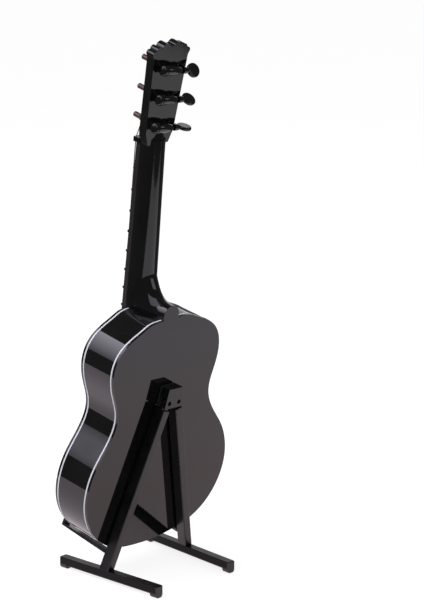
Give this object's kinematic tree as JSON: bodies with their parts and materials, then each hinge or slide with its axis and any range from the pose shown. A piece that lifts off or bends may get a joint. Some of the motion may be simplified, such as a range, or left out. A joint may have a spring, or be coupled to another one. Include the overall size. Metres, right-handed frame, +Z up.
{
  "type": "guitar on stand",
  "caption": "Miniature black classical guitar with white edge binding, leaning back on a folding two-legged stand with rest arms and long foot bars.",
  "frame": {"origin": "on the floor, under the middle of the object's bounding box", "axes": "+Z up, the guitar's soundboard faces -Y and its back and the stand's hinge block face +Y, +X to the left as seen from behind"},
  "size_m": [0.0632, 0.0471, 0.1771],
  "materials": {
    "black_gloss": "high gloss lacquer",
    "neck_black": "satin gloss",
    "white_binding": "gloss",
    "rosette_ivory": "satin",
    "inner_wood": "raw",
    "screw_steel": "plain",
    "fretboard_dark": "satin",
    "fret_metal": "satin",
    "nut_black": "satin",
    "bridge_black": "satin",
    "saddle_ivory": "satin",
    "post_brown": "satin",
    "string_nylon": "clear gloss",
    "string_wound": "wound",
    "tuner_black": "satin gloss",
    "stand_black": "satin moulded",
    "pad_black": "matt",
    "pin_black": "satin"
  },
  "bodies": {
    "stand_head": {"hinge_block": "stand_black", "rest_pad": "pad_black", "left_hinge_pin": "pin_black", "right_hinge_pin": "pin_black"},
    "left_leg": {"left_leg": "stand_black", "left_rest_arm": "stand_black", "left_foot_bar": "stand_black", "left_foot_pads": "pad_black"},
    "right_leg": {"right_leg": "stand_black", "right_rest_arm": "stand_black", "right_foot_bar": "stand_black", "right_foot_pads": "pad_black"},
    "guitar": {"back_plate": "black_gloss", "rim_sides": "black_gloss", "back_binding": "white_binding", "front_binding": "white_binding", "soundboard": "black_gloss", "rosette": "rosette_ivory", "soundboard_braces": "inner_wood", "back_braces": "inner_wood", "tail_block": "inner_wood", "neck_block": "inner_wood", "neck_screws": "screw_steel", "neck": "neck_black", "fretboard": "fretboard_dark", "frets": "fret_metal", "nut": "nut_black", "bridge": "bridge_black", "saddle": "saddle_ivory", "string_posts": "post_brown", "treble_strings": "string_nylon", "bass_strings": "string_wound", "tuner_housing_1": "tuner_black", "tuner_housing_2": "tuner_black", "tuner_housing_3": "tuner_black"},
    "tuner_1": {"tuner_button_1": "tuner_black"},
    "tuner_2": {"tuner_button_2": "tuner_black"},
    "tuner_3": {"tuner_button_3": "tuner_black"}
  },
  "joints": [
    {"name": "left_leg_fold", "type": "hinge", "parent": "stand_head", "child": "left_leg", "pos_m": [0.00473, 0.01083, 0.06007], "axis": [0, 0.981, -0.1942], "range_deg": [0, 14]},
    {"name": "right_leg_fold", "type": "hinge", "parent": "stand_head", "child": "right_leg", "pos_m": [0.00053, 0.01083, 0.06007], "axis": [0, -0.981, 0.1942], "range_deg": [0, 14]},
    {"name": "guitar_lift", "type": "slide", "parent": "stand_head", "child": "guitar", "axis": [0.0879, 0.1935, 0.9772], "range_m": [0, 0.075]},
    {"name": "tuner_turn_1", "type": "hinge", "parent": "guitar", "child": "tuner_1", "pos_m": [0.01049, 0.01612, 0.14976], "axis": [0.999, 0.0216, 0.0388], "continuous": true},
    {"name": "tuner_turn_2", "type": "hinge", "parent": "guitar", "child": "tuner_2", "pos_m": [0.0113, 0.01887, 0.15861], "axis": [0.999, 0.0216, 0.0388], "continuous": true},
    {"name": "tuner_turn_3", "type": "hinge", "parent": "guitar", "child": "tuner_3", "pos_m": [0.01213, 0.02167, 0.16765], "axis": [0.999, 0.0216, 0.0388], "continuous": true}
  ]
}
